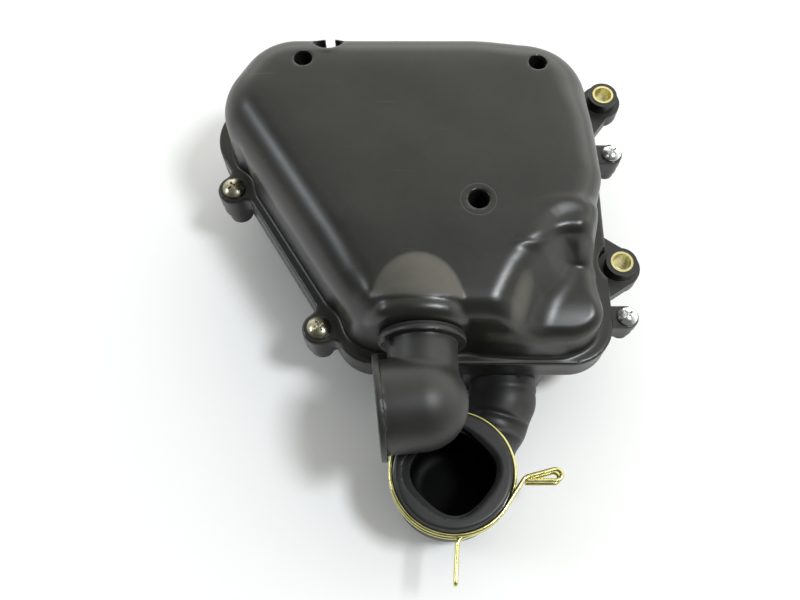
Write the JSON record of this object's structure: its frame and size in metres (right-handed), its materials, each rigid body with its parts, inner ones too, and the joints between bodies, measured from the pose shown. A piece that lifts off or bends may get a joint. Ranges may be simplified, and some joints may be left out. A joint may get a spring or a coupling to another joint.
{
  "type": "air filter housing",
  "caption": "Two-shell air filter housing with swivelling intake elbow, rubber outlet boot with wire clamp, foam element and bolt-through mounting ears.",
  "frame": {"origin": "on the axis of the lower mounting collar, in the parting plane between rear case and front cover", "axes": "+Z along the mounting bolts, out through the front cover; +Y towards the upper mounting collar; +X from the housing towards the mounting ears"},
  "size_m": [0.1708, 0.2206, 0.078],
  "materials": {
    "case_plastic": "moulded black polypropylene, satin",
    "cover_plastic": "moulded black polypropylene, satin, lightly scuffed",
    "elbow_plastic": "moulded black thermoplastic elastomer, fine matte",
    "grid_plastic": "moulded black plastic",
    "boot_rubber": "black rubber, dull",
    "seal_rubber": "black rubber",
    "foam": "oiled open-cell foam, amber brown",
    "clamp_zinc": "yellow chromated zinc plate on spring wire",
    "collar_zinc": "yellow chromated zinc plate",
    "screw_olive": "olive chromated zinc plate",
    "screw_bright": "bright zinc plate"
  },
  "bodies": {
    "case": {"rear_case": "case_plastic", "case_seal": "seal_rubber", "element_support_grid": "grid_plastic", "upper_mount_collar": "collar_zinc", "lower_mount_collar": "collar_zinc", "outlet_boot": "boot_rubber", "drain_plug": "seal_rubber"},
    "cover": {"front_cover": "cover_plastic", "upper_left_screw": "screw_olive", "lower_left_screw": "screw_olive", "upper_right_screw": "screw_bright", "lower_right_screw": "screw_bright", "top_left_screw": "screw_olive", "top_right_screw": "screw_olive"},
    "element": {"filter_element": "foam", "element_retainer": "grid_plastic"},
    "elbow": {"intake_elbow": "elbow_plastic", "elbow_seal_ring": "seal_rubber"},
    "clamp": {"clamp_hooked_half": "clamp_zinc"},
    "clamp_tab": {"clamp_looped_half": "clamp_zinc"}
  },
  "joints": [
    {"name": "cover_lift", "type": "slide", "parent": "case", "child": "cover", "axis": [0, 0, 1], "range_m": [0, 0.1]},
    {"name": "element_lift", "type": "slide", "parent": "case", "child": "element", "axis": [0, 0, 1], "range_m": [0, 0.05]},
    {"name": "elbow_turn", "type": "hinge", "parent": "cover", "child": "elbow", "pos_m": [-0.079, -0.04, 0.026], "axis": [0, 1, 0], "range_deg": [0, 180]},
    {"name": "clamp_turn", "type": "hinge", "parent": "case", "child": "clamp", "pos_m": [-0.068, -0.0812, 0.0012], "axis": [0, 0, 1], "range_deg": [-90, 45]},
    {"name": "clamp_pinch", "type": "hinge", "parent": "clamp", "child": "clamp_tab", "pos_m": [-0.08384, -0.06536, 0.0012], "axis": [0, 0, 1], "range_deg": [0, 5], "stiffness_Nm_per_rad": 2}
  ],
  "couplings": [
    {"joint": "element_lift", "follows": "cover_lift", "ratio": 0.5}
  ]
}
